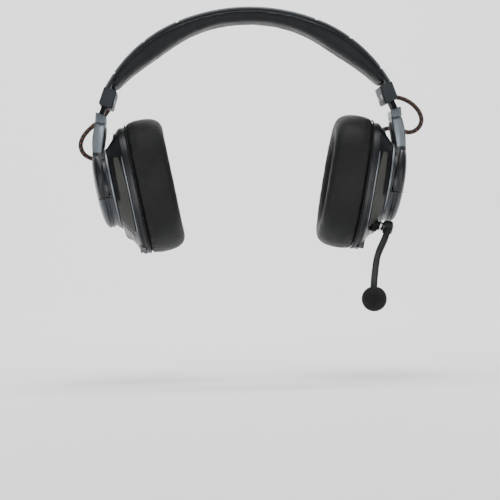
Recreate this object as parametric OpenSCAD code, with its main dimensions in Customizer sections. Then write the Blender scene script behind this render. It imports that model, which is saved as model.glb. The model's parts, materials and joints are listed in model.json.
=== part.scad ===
// Over-ear radio headphones with folding yokes, braided link leads and a boom microphone.
// Millimetres. Origin: underside of the headband pad at the crown. +Z up, front towards -Y,
// +X is the side that carries the boom, which is the wearer's left.

/* [Headband] */
// Height of the band's outer line above the crown seat
band_top = 11.5; // [11.5:0.1:12.5]
// Radius of the crown arc
crown_r = 159; // [156:0.5:162]
// Half angle of the crown arc
crown_half = 21.7; // [21.5:0.05:21.9]
// Radius of each end arc
end_r = 122; // [121:0.5:123]
// Width of the band from front to back
band_w = 38; // [36:0.5:38]
// Angle from vertical at which the band enters its end caps
band_end = 61; // [60:0.25:61.5]
// Thickness of the headband cushion at the crown
pad_t = 6.2; // [5:0.1:6.2]

/* [Sliders] */
// Outward lean of the slide axis
slide_lean = 23; // [22.5:0.1:23.5]
// Width of the slider tongue
tongue_w = 18; // [14:0.5:18]
// Length of tongue inside the end cap at rest
tongue_in = 26; // [22:0.5:26]

/* [Yokes] */
// Outward lean of the swivel axis
swivel_lean = 12; // [11:0.5:13]
// Width of the yoke arm
arm_w = 27; // [24:0.5:27]
// Radius of the swivel pin
swivel_r = 2.5; // [2:0.1:2.8]
// Radius of the tilt axle
axle_r = 1.5; // [1.2:0.1:1.6]

/* [Ear cups] */
// Lean of each ear cup, top outwards
cup_lean = 10.7; // [10:0.1:11.4]
// Half depth of the oval chassis
oval_half = 44; // [43:0.5:45]
// Offset of the oval's two end arcs from its middle
oval_off = 10.4; // [9:0.1:11]
// Depth of the chassis ring
chassis_t = 4.9; // [4.5:0.1:5]
// Radius of the outer plate
plate_r = 35; // [34:0.5:35.5]
// Radius of the hub drum
hub_r = 33; // [31:0.5:33]
// Wall of the cup shell
wall = 2.2; // [1.8:0.1:2.4]

/* [Ear pads] */
// Thickness of an ear pad
ear_pad_t = 32.4; // [28:0.2:33]
// Half depth of the pad at its fullest
ear_pad_half = 47.4; // [46:0.2:48]
// Half depth of the ear opening
ear_hole_half = 23; // [21:0.5:24]
// Radius of the speaker driver
driver_r = 20; // [18:0.5:20]

/* [Controls and ports] */
// Radius of the two thumb wheels
wheel_r = 9; // [8:0.1:9]
// Radius of the audio jack's bore
jack_r = 1.8; // [1.7:0.05:1.85]

/* [Microphone] */
// Radius of the boom arm
boom_r = 3.4; // [2.8:0.1:3.5]
// Radius of the foam windscreen
foam_r = 10.25; // [9.5:0.25:10.5]

/* [Link leads] */
// Diameter of the braided leads
lead_d = 4; // [4:0.1:4.2]

/* [Hidden] */
$fn = 64;
gap = 0.1;                                  // between layers fixed to each other
crown_z = band_top - crown_r;               // centre height of the crown arc
shift_r = crown_r - end_r;
end_x = shift_r * sin(crown_half);          // centre of the end arc
end_z = crown_z + shift_r * cos(crown_half);
slat_t = 1.2;
cover_in = 2.9;                             // depth of the cover's inside
frame_out = 3.2;
frame_in = 5.2;
spring_t = 0.8;
spring_end = 47;
pad_end = 60.5;
// Extra thickness of the cushion by angle from the crown: fullest over the temples, thin at its ends
pad_swell = [[0, 0], [10, 0.3], [18, 1.6], [26, 4], [34, 5.1], [41, 4.4], [48, 1.9], [54, -0.7],
             [60.5, -3]];
slats = [[-21.2, 21.2], [22.2, 36.6], [37.6, 53.8], [54.8, band_end - 0.6]];
wire_y = 13.2;                              // link wire's place across the band
wire_r = 0.8;
slide_pos = [124.3, 0, -75.7];
swivel_pos = [125.2, 0, -84];
cup_pos = [95.7, 0, -140.5];
cap_low = 7;                                // end cap's lower and upper ends on the slide axis
cap_high = 20;
sleeve_at = [117, 18, -65.9];               // where a lead's sleeve leaves the cap, and its way out
sleeve_way = [0.1, 1, -0.16];
tongue_t = 1.6;
hub_q = 6;                                  // hub centre above the cup's middle
tilt_at = [28, 6];                          // tilt axis, outward and upward
plate_z = 18.6;                             // inside of the outer plate
plate_t = 1.2;
hub_z = plate_z + plate_t + gap;
channel_w = arm_w + 2.2;
split_q = -2;                               // lower edge of the yoke's disc
disc_low = 24.8;                            // inner rim of the disc's skirt
disc_in = 31.6;                             // underside of the disc's face
lug_x = [14.6, 21.5];                       // inner and outer faces of the axle lugs
// Domed face of the hub, as [radius, outward]
dome = [[0, 34.2], [14, 33.8], [24.5, 32.5], [29.5, 31.2], [hub_r, 27.8], [hub_r + 0.2, disc_low]];
board_z = 11.5;
board_t = 1.6;
side_z = 9.5;                               // height of buttons and wheels above the chassis
wheel_at = [[32.8, 6.5], [32.8, -13]];
spindle_r = 1.2;
mute_q = 24;
pair_q = -14;
button_r = 3;
jack_at = [-14, 5.4];                       // across and outward
port_at = [-15, 5.2];
screw_at = [26, 32];
boom_at = [-24, -32.5];                     // boom hinge across and up
boom_pin_r = 2.5;
boom_low = 20.9;                            // underside of the boom knuckle
boom_elbow = [-50, -57, 17.4];
boom_bend = [-75, -82, 15.4];
foam_at = [-80, -93, 17];
pad_lift = 1;                               // ear pad's centre above the chassis centre

// Yoke arm seen from the front, as [outward, upward] in the cup's frame
arm_outer = [[22.8, 62.8], [25.9, 56], [28.6, 48], [30.4, 39], [31.3, 33.5], [31.3, 0.4]];
arm_inner = [[24.6, 0.4], [24.6, 26], [23.4, 32], [21.6, 37], [19.3, 42.5], [16.2, 51.5],
             [14.2, 59.2]];
strip_line = [[22.6, 34], [19.3, 42.5], [16.2, 51.5], [14.9, 56.5]];
strip_t = 1.2;
// Groove that lets the arm dip into the cup when it tilts, as [outward, upward]
groove = [[20.9, 23], [14, 39], [9.6, 50], [9.6, 60], [40, 60], [40, 23]];

// Routes of the link leads behind the yokes, from end cap to ear cup
lead_left = [[117.7, 25, -67], [118.4, 27.3, -67.2], [121.6, 29.2, -66], [129.5, 27.6, -63.8],
             [137.5, 25, -66.3],
             [144.5, 23, -71.5], [149.3, 21.5, -78.5], [150.4, 21, -85.5], [147, 21.5, -91.8],
             [140.5, 23, -94.6], [133, 25.5, -92.8], [126, 28.5, -90.6], [120, 32, -90.8],
             [116.8, 35.6, -94], [116.5, 38.2, -98.8], [118, 38.4, -103.6], [118.4, 35.6, -106.6],
             [117.4, 32.4, -107.5], [115, 26, -107.5]];
lead_right = [[-117.7, 25, -67], [-118.2, 27.5, -67.8], [-120.4, 29.8, -70.8],
              [-124.8, 30, -76.5], [-130, 28, -81],
              [-136, 25.8, -86], [-141.5, 24.4, -92.5], [-144, 24, -99.8], [-142, 25, -106.6],
              [-136.5, 27.5, -110.8], [-129.5, 31.2, -112.2], [-123.4, 34.8, -110.9],
              [-119.4, 35.4, -108.6], [-117.4, 32.4, -107.5], [-115, 26, -107.5]];

// ---------- frames and shapes used by several parts ----------

// Puts its children on the wearer's left (+X) or, mirrored, on the right
module on_side(left) {
    if (left) children();
    else mirror([1, 0, 0]) children();
}

// Slide axis along local Z, outward along local X
module slide_frame(left) {
    on_side(left) translate(slide_pos) rotate([0, -slide_lean, 0]) children();
}

module swivel_frame(left) {
    on_side(left) translate(swivel_pos) rotate([0, -swivel_lean, 0]) children();
}

// Ear cup: local X to the rear, local Y up along the cup, local Z outward
module cup_frame(left) {
    on_side(left) translate(cup_pos) rotate([0, cup_lean, 0]) rotate([90, 0, 90]) children();
}

// Profile given as [outward, upward] in the cup's frame, spread along local X
module cup_profile(points, width) {
    rotate([0, -90, 0]) linear_extrude(width, center = true) polygon(points);
}

// Block from one corner to the other
module block(low, high) {
    translate(low) cube(high - low);
}

// One stretch of a hoop in the XZ plane; angles are measured from vertical
module hoop(r, thick, width, from, to) {
    rotate([90, 0, 0]) rotate([0, 0, 90 - to]) rotate_extrude(angle = to - from, $fn = 180)
        translate([r - thick, -width / 2]) square([thick, width]);
}

// Right half of the band's line at a depth under its outer line, out to an end angle
function arc_line(x, z, r, from, to, steps) =
    [for (i = [0 : steps]) let (a = from + (to - from) * i / steps) [x + r * sin(a), z + r * cos(a)]];
function half_line(depth, to) = concat(
    arc_line(0, crown_z, crown_r - depth, 0, crown_half, 10),
    arc_line(end_x, end_z, end_r - depth, crown_half + 2, to, 18));
function backwards(v) = [for (i = [len(v) - 1 : -1 : 0]) v[i]];
function both_sides(h) = concat([for (i = [len(h) - 1 : -1 : 1]) [-h[i].x, h[i].y]], h);
function full_line(depth, to) = both_sides(half_line(depth, to));

// Underside of the cushion, a swelling depth under the band's outer line
function pad_depth(a) = frame_in + gap + pad_t + lookup(a, pad_swell);
function pad_line() = concat(
    [for (a = [0 : 2.17 : crown_half]) let (r = crown_r - pad_depth(a))
        [r * sin(a), crown_z + r * cos(a)]],
    [for (i = [0 : 18]) let (a = crown_half + 2 + (pad_end - crown_half - 2) * i / 18,
                             r = end_r - pad_depth(a)) [end_x + r * sin(a), end_z + r * cos(a)]]);

// Layer of the band between two depths
module band_layer(depth, inner, width, to) {
    rotate([90, 0, 0]) linear_extrude(width, center = true)
        polygon(concat(full_line(depth, to), backwards(full_line(inner, to))));
}

// Oval outline of the cup, grown or shrunk
module oval(half, off = oval_off) {
    union() {
        translate([0, off]) circle(half);
        translate([0, -off]) circle(half);
        square([2 * half, 2 * off], center = true);
    }
}

// Flank of the cup, from the oval chassis to the round outer plate
module flank(grow, low, high) {
    hull() {
        translate([0, 0, low]) linear_extrude(0.2)
            for (s = [-1, 1]) translate([0, s * oval_off]) circle(oval_half + grow);
        translate([0, hub_q, high - 0.2]) cylinder(r = plate_r + grow, h = 0.2);
    }
}

// Rounded slab across the slide axis
module slab(x0, x1, width, z, r = 1.6) {
    for (x = [x0 + r, x1 - r], y = [-width / 2 + r, width / 2 - r])
        translate([x, y, z]) cylinder(r = r, h = 0.4, $fn = 24);
}

// Cylinder between two points
module rod(a, b, r) {
    v = b - a;
    translate(a) rotate([0, acos(v.z / norm(v)), atan2(v.y, v.x)]) cylinder(r = r, h = norm(v));
}

// Places for the cup's corner screws
module at_screws() {
    for (sx = [-1, 1], sy = [-1, 1]) translate([sx * screw_at.x, sy * screw_at.y, 0]) children();
}

// Tube swept along a route with frames carried along without twist
function unit(v) = v / norm(v);
function tangent(p, i) = unit(p[min(i + 1, len(p) - 1)] - p[max(i - 1, 0)]);
function carried(p, i = 0, n = [0.3, 0.1, 1]) =
    i == len(p) ? [] :
    let (t = tangent(p, i), m = unit(n - (n * t) * t)) concat([m], carried(p, i + 1, m));

module lead(p, d, sides = 8) {
    n = carried(p);
    points = [for (i = [0 : len(p) - 1]) let (b = cross(tangent(p, i), n[i]))
        for (k = [0 : sides - 1]) p[i] + d / 2 * (cos(360 * k / sides) * n[i]
                                                  + sin(360 * k / sides) * b)];
    last = (len(p) - 1) * sides;
    faces = concat(
        [[for (k = [0 : sides - 1]) sides - 1 - k]],
        [for (i = [0 : len(p) - 2], k = [0 : sides - 1]) let (j = (k + 1) % sides)
            [i * sides + k, i * sides + j, (i + 1) * sides + j, (i + 1) * sides + k]],
        [[for (k = [0 : sides - 1]) last + k]]);
    polyhedron(points, [for (f = faces) [for (k = [len(f) - 1 : -1 : 0]) f[k]]], convexity = 6);
}

// ---------- headband ----------

module cover_slats() color("lightsteelblue") {
    translate([0, 0, crown_z]) hoop(crown_r, slat_t, band_w - 6, slats[0][0], slats[0][1]);
    for (left = [true, false], i = [1 : 3])
        on_side(left) translate([end_x, 0, end_z])
            hoop(end_r, slat_t, band_w - 6, slats[i][0], slats[i][1]);
}

module headband_cover() color("silver")
    band_layer(slat_t + gap, cover_in, band_w, band_end);

// Carrier with a channel for the spring, a groove for the wire and room for the sliders
module band_frame() color("gainsboro") difference() {
    band_layer(frame_out, frame_in, band_w - 4, band_end + 3);
    band_layer(frame_out - 1, frame_out + spring_t + gap, 16.4, spring_end + 0.5);
    translate([0, wire_y, 0])
        band_layer(frame_out - 1, frame_in - 0.3, 2 * wire_r + 0.4, band_end + 3.1);
    for (left = [true, false]) slide_frame(left)
        block([-4, -tongue_w / 2 - 0.6, -5], [4, tongue_w / 2 + 0.6, tongue_in + 8]);
}

module spring_strip() color("dimgray")
    band_layer(frame_out, frame_out + spring_t, 16, spring_end);

// Cushion, with room at its ends for the slider tongues
module headband_pad() color("#1d1e22") difference() {
    rotate([90, 0, 0]) linear_extrude(band_w - 2, center = true)
        polygon(concat(full_line(frame_in + gap, pad_end), backwards(both_sides(pad_line()))));
    for (left = [true, false]) slide_frame(left)
        block([-1.3, -tongue_w / 2 - 0.6, -5], [3, tongue_w / 2 + 0.6, tongue_in + 8]);
}

// Flat wire that carries the signal from cup to cup along the band
module link_wire() color("firebrick") translate([0, wire_y, 0])
    band_layer(frame_out + 0.3, frame_in - 0.5, 2 * wire_r, band_end + 1);

module sleeve_rod(r, from, to) {
    rod(sleeve_at + from * sleeve_way, sleeve_at + to * sleeve_way, r);
}

module end_cap(left) color("#3a4557") difference() {
    slide_frame(left) hull() {
        slab(-8.3, 3.6, band_w - 1, cap_low);
        slab(-6.6, 4.4, band_w + 2, cap_high - 0.4);
    }
    slide_frame(left) {
        block([-4.6, -band_w / 2 + 1.7, cap_low + 3], [2.4, band_w / 2 - 1.7, cap_high + 1]);
        block([-2.4, -tongue_w / 2 - 1.4, cap_low - 1], [2.4, tongue_w / 2 + 1.4, cap_low + 4]);
        for (y = [-12, 12]) translate([-14, y, cap_low + 6]) rotate([0, 90, 0]) {
            cylinder(r = 1.1, h = 12);
            cylinder(r = 2.1, h = 7.8);
        }
    }
    on_side(left) sleeve_rod(2.75, -4, 6);
}

module end_cap_screws() color("dimgray") for (left = [true, false])
    slide_frame(left) for (y = [-12, 12]) translate([-7.2, y, cap_low + 6]) rotate([0, 90, 0]) {
        cylinder(r = 1.9, h = 0.95);
        cylinder(r = 1, h = 3.2);
    }

// Rubber sleeves where the leads leave the end caps
module lead_sleeves() color("#15161a") for (left = [true, false])
    on_side(left) sleeve_rod(2.7, -1.6, 6.2);

module lead_left_side() color("#2a211f") lead(lead_left, lead_d);

module lead_right_side() color("#2a211f") lead(lead_right, lead_d);

// ---------- sliders ----------

module slider(left) color("#15161a") slide_frame(left) {
    block([-2, -tongue_w / 2, -0.5], [2, tongue_w / 2, cap_low + 2]);
    block([-tongue_t / 2, -tongue_w / 2, cap_low], [tongue_t / 2, tongue_w / 2, tongue_in]);
}

// Block under the slider; its lower face is square to the swivel axis
module knuckle(left) color("#5b6a80") difference() {
    hull() {
        slide_frame(left) slab(-5, 4.4, arm_w - 1, -0.95);
        swivel_frame(left) slab(-4.6, 4.6, arm_w, 0.3);
    }
    swivel_frame(left) translate([0, 0, -1]) cylinder(r = swivel_r + 0.02, h = 5);
}

module swivel_pin(left) color("silver") swivel_frame(left)
    translate([0, 0, -8]) cylinder(r = swivel_r, h = 11.9);

// ---------- yokes ----------

module strip_solid(grow) {
    back = [for (i = [len(strip_line) - 1 : -1 : 0]) strip_line[i] + [strip_t + grow, 0]];
    front = [for (p = strip_line) p - [grow * 20, 0]];
    cup_profile(concat(front, back), 18 + 2 * grow);
}

module yoke_arm(left) color("#4a5970") difference() {
    cup_frame(left) cup_profile(concat(arm_outer, arm_inner), arm_w);
    cup_frame(left) {
        strip_solid(0.05);
        translate([0, tilt_at.y, tilt_at.x]) rotate([0, 90, 0])
            cylinder(r = axle_r + 0.02, h = arm_w + 2, center = true);
    }
    swivel_frame(left) translate([0, 0, -9]) cylinder(r = swivel_r + 0.05, h = 12);
}

// Hub shape under the domed face, from an inner face outwards
module dome_solid(low) {
    translate([0, hub_q, 0]) rotate_extrude($fn = 128)
        polygon(concat([[0, low]], dome, [[hub_r + 0.2, low]]));
}

// Glossy cover over the yoke's lower end: the upper part of the hub's disc, with a skirt
module yoke_disc(left) color("#10141c") cup_frame(left) difference() {
    dome_solid(disc_low);
    block([-50, -50, 0], [50, split_q, 50]);
    intersection() {
        translate([0, hub_q, 20]) union() {
            cylinder(r = hub_r - 2.4, h = disc_in - 23, $fn = 128);
            cylinder(r = hub_r - 9, h = disc_in - 20.1, $fn = 128);
        }
        block([-50, split_q + 2, 0], [50, 50, 50]);
    }
    block([-arm_w / 2 - 0.1, split_q + 2, 10], [arm_w / 2 + 0.1, 50, disc_in - 0.2]);
    block([-arm_w / 2 - 0.1, 33.4, 10], [arm_w / 2 + 0.1, 50, 40]);
}

module yoke_strip(left) color("#101114") cup_frame(left) strip_solid(0);

module tilt_axle(left) color("silver") cup_frame(left)
    translate([0, tilt_at.y, tilt_at.x]) rotate([0, 90, 0])
        cylinder(r = axle_r, h = 2 * lug_x[1] - 1, center = true);

// ---------- ear cups ----------

module cup_shell(left) color("#1b2029") cup_frame(left) difference() {
    flank(0, chassis_t + gap, plate_z - gap);
    difference() {
        flank(-wall, chassis_t - 1, plate_z - wall);
        at_screws() translate([0, 0, chassis_t]) cylinder(r = 3, h = 6);
        cup_profile([for (p = groove) p - [1.6, 1.6]], channel_w + 3.2);
    }
    at_screws() cylinder(r = 1.22, h = chassis_t + 5.5);
    cup_profile(groove, channel_w);
    lead_gland_hole();
    if (left) {
        for (w = wheel_at) translate([w.x, w.y, side_z - 1.9]) cylinder(r = wheel_r + 0.5, h = 3.8);
        translate([28, mute_q, side_z]) rotate([0, 90, 0]) cylinder(r = button_r + 0.3, h = 20);
        translate([boom_at.x, boom_at.y, 11]) cylinder(r = 5.6, h = 12);
        translate([jack_at.x, -60, jack_at.y]) rotate([-90, 0, 0]) cylinder(r = 3.3, h = 20);
    } else {
        block([34, -0.6, side_z - 1.9], [50, 9.2, side_z + 1.9]);
        translate([28, pair_q, side_z]) rotate([0, 90, 0]) cylinder(r = button_r + 0.3, h = 20);
        port_block(0.1, -46.5);
    }
}

// Hole where the link lead enters the cup
module lead_gland_hole() {
    rod([34.7, 36.4, 15.4], [22.7, 35.8, 11.9], lead_d / 2 + 0.4);
}

// Socket outline for the charging port, from its mouth up to a stated height
module port_block(grow, top) {
    block([port_at.x - 5.2 - grow, -60, port_at.y - 2.4 - grow],
          [port_at.x + 5.2 + grow, top, port_at.y + 2.4 + grow]);
}

module outer_plate(left) color("lightsteelblue") cup_frame(left) difference() {
    translate([0, hub_q, plate_z]) cylinder(r = plate_r + 0.4, h = plate_t, $fn = 96);
    cup_profile(groove, channel_w);
}

// Base of the hub, its full lower part, and the two lugs that the tilt axle turns in
module hub_drum(left) color("#2c3646") cup_frame(left) difference() {
    union() {
        translate([0, hub_q, 0]) rotate_extrude($fn = 128) polygon([
            [0, hub_z], [hub_r + 1.2, hub_z], [hub_r + 0.6, hub_z + 0.9], [hub_r - 1, hub_z + 0.9],
            [hub_r - 1, hub_z + 2.2], [hub_r - 3, hub_z + 2.2], [hub_r - 3, hub_z + 0.9],
            [0, hub_z + 0.9]]);
        difference() {
            dome_solid(hub_z);
            block([-50, split_q - 1.2, 0], [50, 50, 50]);
        }
        for (sx = [-1, 1]) translate([sx * (lug_x[0] + lug_x[1]) / 2, tilt_at.y, 0]) {
            block([(lug_x[0] - lug_x[1]) / 2, -3.2, hub_z], [(lug_x[1] - lug_x[0]) / 2, 3.2, tilt_at.x]);
            translate([0, 0, tilt_at.x]) rotate([0, 90, 0])
                cylinder(r = 3.2, h = lug_x[1] - lug_x[0], center = true);
        }
    }
    block([-50, 22, hub_z + 0.9], [50, 60, 40]);
    cup_profile(groove, channel_w);
    translate([0, tilt_at.y, tilt_at.x]) rotate([0, 90, 0])
        cylinder(r = axle_r + 0.05, h = 2 * lug_x[1] + 2, center = true);
}

// Matt trim panel on the front flank
module side_panel(left) color("#6d6f68") cup_frame(left) difference() {
    intersection() {
        flank(0.9, chassis_t + gap, plate_z - gap);
        block([-60, -24, chassis_t + 1.2], [-16, 25, plate_z - 2]);
    }
    flank(0.1, chassis_t + gap, plate_z - gap);
}

module chassis(left) color("#17181b") cup_frame(left) difference() {
    linear_extrude(chassis_t) oval(oval_half);
    translate([0, 0, -1]) linear_extrude(3.2 + gap) oval(oval_half - 3);
    translate([0, 0, -1]) linear_extrude(chassis_t + 2) oval(oval_half - 14);
    at_screws() cylinder(r = 1.3, h = chassis_t + 1);
    at_screws() cylinder(r = 2.3, h = 3.9);
    if (left) translate([jack_at.x, -60, jack_at.y]) rotate([-90, 0, 0]) cylinder(r = 3.3, h = 20);
    else port_block(0.1, -46.5);
}

module baffle(left) color("#202226") cup_frame(left) difference() {
    translate([0, 0, gap]) linear_extrude(2) oval(oval_half - 3.1);
    translate([0, 0, -1]) cylinder(r = driver_r + gap, h = 6);
}

module driver(left) color("dimgray") cup_frame(left) {
    translate([0, 0, gap]) cylinder(r = driver_r, h = 6.8);
    translate([0, 0, gap + 6.8]) cylinder(r = driver_r / 2, h = 4.2);
}

module ear_pad(left) color("#1a1b1e") cup_frame(left) translate([0, pad_lift, 0]) difference() {
    hull() for (step = [[-ear_pad_t, 3], [-ear_pad_t + 5, 0], [-6, 0], [-gap - 0.2, 3]])
        translate([0, 0, step[0]]) linear_extrude(0.2)
            for (s = [-1, 1]) translate([0, s * oval_off])
                circle(ear_pad_half - step[1], $fn = 48);
    translate([0, -pad_lift, -ear_pad_t - 1]) linear_extrude(ear_pad_t + 2) oval(ear_hole_half, 10);
}

// Thin cloth disc over the driver, inside the pad's opening
module ear_scrim(left) color("#0d0d0f") cup_frame(left)
    translate([0, 0, -1.4]) linear_extrude(0.6) oval(ear_hole_half - 0.4, 10);

module circuit_board(left) color("darkgreen") cup_frame(left) {
    translate([0, 0, board_z]) linear_extrude(board_t) union() {
        oval(20, 6);
        if (left) translate([10, -13]) square([23.2, 20.6]);
    }
    if (left) for (w = wheel_at) translate([w.x, w.y, board_z - 3.6]) cylinder(r = spindle_r, h = 3.7);
    translate([-9, 11, board_z - 1.6]) cube([9, 9, 1.6]);
}

module cup_screws(left) color("silver") cup_frame(left) at_screws() {
    translate([0, 0, 2.4]) cylinder(r = 2.1, h = 1.4);
    translate([0, 0, 2.4]) cylinder(r = 1.2, h = 7.4);
}

module battery() color("slategray") cup_frame(false) block([-14, -34, 7.2], [14, -13, 11.2]);

// ---------- controls and ports ----------

module thumb_wheel(at) color("#2a2b2f") cup_frame(true) translate([at.x, at.y, side_z - 1.5])
    difference() {
        cylinder(r = wheel_r, h = 3, $fn = 96);
        translate([0, 0, -1]) cylinder(r = spindle_r + 0.05, h = 5);
        for (a = [0 : 20 : 340]) rotate([0, 0, a]) translate([wheel_r + 0.45, 0, -1])
            cylinder(r = 0.8, h = 5, $fn = 16);
    }

module side_button(left, q) color("#2a2b2f") cup_frame(left)
    translate([33.5, q, side_z]) rotate([0, 90, 0]) cylinder(r = button_r, h = 6.1);

module power_switch() color("#2a2b2f") cup_frame(false) {
    block([36, 0, side_z - 1.5], [42.6, 5, side_z + 1.5]);
    block([34.4, -1.5, side_z - 1.5], [36, 6.5, side_z + 1.5]);
}

module audio_jack() color("darkgray") cup_frame(true)
    translate([jack_at.x, -53.2, jack_at.y]) rotate([-90, 0, 0]) difference() {
        cylinder(r = 3.2, h = 13);
        translate([0, 0, -1]) cylinder(r = jack_r, h = 15);
    }

module charging_port() color("darkgray") cup_frame(false) difference() {
    intersection() {
        port_block(0, -47);
        block([-60, -53, 0], [0, 0, 20]);
    }
    block([port_at.x - 4.3, -60, port_at.y - 1.4], [port_at.x + 4.3, -48, port_at.y + 1.4]);
}

// ---------- microphone ----------

module boom_hinge() color("#15161a") cup_frame(true) translate([boom_at.x, boom_at.y, 0]) {
    translate([0, 0, 11.1]) cylinder(r = 5.5, h = boom_low - 11.4);
    translate([0, 0, 11.1]) cylinder(r = boom_pin_r, h = 16.1);
}

module boom_joint(a, b, ra, rb) {
    hull() {
        translate(a) sphere(ra, $fn = 24);
        translate(b) sphere(rb, $fn = 24);
    }
}

module boom_arm() color("#15161a") cup_frame(true) difference() {
    union() {
        translate([boom_at.x, boom_at.y, boom_low]) cylinder(r = 5.6, h = 7.7);
        boom_joint([-27, -35.5, 24.7], boom_elbow, boom_r, boom_r);
        boom_joint(boom_elbow, boom_bend, boom_r, boom_r);
        boom_joint(boom_bend, boom_bend + 0.45 * (foam_at - boom_bend), boom_r, 3);
    }
    translate([boom_at.x, boom_at.y, boom_low - 1]) cylinder(r = boom_pin_r + 0.05, h = 7.4);
}

module mic_capsule() color("gray") cup_frame(true)
    rod(foam_at - 2.6 * unit(foam_at - boom_bend), foam_at + 2.6 * unit(foam_at - boom_bend), 3);

module foam_windscreen() color("#101012") cup_frame(true) difference() {
    translate(foam_at) sphere(foam_r, $fn = 48);
    rod(foam_at - 14 * unit(foam_at - boom_bend), foam_at + 3.2 * unit(foam_at - boom_bend), 4.2);
}

cover_slats();
headband_cover();
band_frame();
spring_strip();
headband_pad();
link_wire();
end_cap(true);  // end_cap_left
end_cap(false);  // end_cap_right
end_cap_screws();
lead_sleeves();
lead_left_side();
lead_right_side();
slider(true);  // slider_left
slider(false);  // slider_right
knuckle(true);  // knuckle_left
knuckle(false);  // knuckle_right
swivel_pin(true);  // swivel_pin_left
swivel_pin(false);  // swivel_pin_right
yoke_arm(true);  // yoke_arm_left
yoke_arm(false);  // yoke_arm_right
yoke_strip(true);  // yoke_strip_left
yoke_strip(false);  // yoke_strip_right
yoke_disc(true);  // yoke_disc_left
yoke_disc(false);  // yoke_disc_right
tilt_axle(true);  // tilt_axle_left
tilt_axle(false);  // tilt_axle_right
cup_shell(true);  // cup_shell_left
cup_shell(false);  // cup_shell_right
outer_plate(true);  // outer_plate_left
outer_plate(false);  // outer_plate_right
hub_drum(true);  // hub_drum_left
hub_drum(false);  // hub_drum_right
side_panel(true);  // side_panel_left
side_panel(false);  // side_panel_right
chassis(true);  // chassis_left
chassis(false);  // chassis_right
baffle(true);  // baffle_left
baffle(false);  // baffle_right
driver(true);  // driver_left
driver(false);  // driver_right
ear_pad(true);  // ear_pad_left
ear_pad(false);  // ear_pad_right
ear_scrim(true);  // ear_scrim_left
ear_scrim(false);  // ear_scrim_right
circuit_board(true);  // circuit_board_left
circuit_board(false);  // circuit_board_right
cup_screws(true);  // cup_screws_left
cup_screws(false);  // cup_screws_right
battery();
thumb_wheel(wheel_at[0]);  // volume_wheel
thumb_wheel(wheel_at[1]);  // chat_wheel
side_button(true, mute_q);  // mute_button
power_switch();
side_button(false, pair_q);  // pair_button
audio_jack();
charging_port();
boom_hinge();
boom_arm();
mic_capsule();
foam_windscreen();
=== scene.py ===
import json
import math

import bmesh
import bpy
from mathutils import Matrix, Vector, noise


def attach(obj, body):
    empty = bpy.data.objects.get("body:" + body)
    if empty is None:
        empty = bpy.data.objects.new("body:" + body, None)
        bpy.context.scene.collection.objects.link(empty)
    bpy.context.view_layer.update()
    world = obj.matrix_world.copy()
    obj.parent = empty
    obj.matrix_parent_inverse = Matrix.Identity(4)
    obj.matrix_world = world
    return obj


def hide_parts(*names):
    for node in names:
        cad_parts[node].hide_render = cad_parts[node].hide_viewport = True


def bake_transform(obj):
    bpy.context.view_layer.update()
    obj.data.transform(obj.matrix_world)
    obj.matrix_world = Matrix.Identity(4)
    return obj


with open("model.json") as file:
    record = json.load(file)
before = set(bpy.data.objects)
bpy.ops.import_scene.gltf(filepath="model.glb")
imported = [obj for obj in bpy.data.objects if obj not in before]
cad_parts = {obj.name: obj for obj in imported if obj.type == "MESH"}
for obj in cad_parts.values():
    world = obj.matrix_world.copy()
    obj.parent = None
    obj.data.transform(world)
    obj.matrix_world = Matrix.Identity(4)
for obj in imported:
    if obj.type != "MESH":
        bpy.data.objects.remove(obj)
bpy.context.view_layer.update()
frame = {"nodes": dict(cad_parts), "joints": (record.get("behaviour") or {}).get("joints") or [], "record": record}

# Over-ear radio headphones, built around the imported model. The shape helpers work in millimetres.
MM = 0.001
NODES = frame["nodes"]
MOUNTS = {m["name"]: m for m in frame["record"]["mounts"]}
JOINTS = {j["name"]: j for j in frame["joints"]}
SIDES = {"left": 1, "right": -1}

# Sizes shared with the design
BAND_TOP, CROWN_R, CROWN_HALF, END_R = 11.5, 159.0, 21.7, 122.0
BAND_W, BAND_END, PAD_END = 38.0, 61.0, 60.5
OVAL_HALF, OVAL_OFF, PLATE_R, HUB_R, HUB_Q = 44.0, 10.4, 35.0, 33.0, 6.0
CHASSIS_T, PLATE_Z, EAR_PAD_T = 4.9, 18.6, 32.4
TILT_Z, ARM_W, LEAD_D = 28.0, 27.0, 4.0
BOOM_AT = (-24.0, -32.5)
SLIDE_POS = (124.3, 0, -75.7)
GROOVE_HALF = (ARM_W + 2.2) / 2
HUB_STEPS = 160
FAR = 60  # reach of a cutting box, past every part of a cup


# ---------- places ----------

def axes_matrix(x, y, z, origin):
    """Matrix from millimetres along three unit axes to metres in the row frame."""
    m = Matrix.Identity(4)
    for col, axis in enumerate((x, y, z)):
        for row in range(3):
            m[row][col] = axis[row] * MM
    m.translation = origin
    return m


OUT = -Vector(MOUNTS["ear_seat_left"]["axis"]).normalized()
UP = Vector((-OUT.z, 0, OUT.x))
CUP = axes_matrix(Vector((0, 1, 0)), UP, OUT,
                  Vector(MOUNTS["ear_seat_left"]["pos_m"]) + OUT * EAR_PAD_T * MM - UP * MM)
SLIDE_UP = -Vector(JOINTS["slide_left"]["axis"]).normalized()
SLIDE = axes_matrix(Vector((SLIDE_UP.z, 0, -SLIDE_UP.x)), Vector((0, 1, 0)), SLIDE_UP,
                    Vector(SLIDE_POS) * MM)
SWIVEL_UP = Vector(JOINTS["swivel_left"]["axis"]).normalized()
SWIVEL = axes_matrix(Vector((SWIVEL_UP.z, 0, -SWIVEL_UP.x)), Vector((0, 1, 0)), SWIVEL_UP,
                     Vector(JOINTS["swivel_left"]["pos_m"]))
ROW = Matrix.Scale(MM, 4)


# ---------- materials ----------

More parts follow.
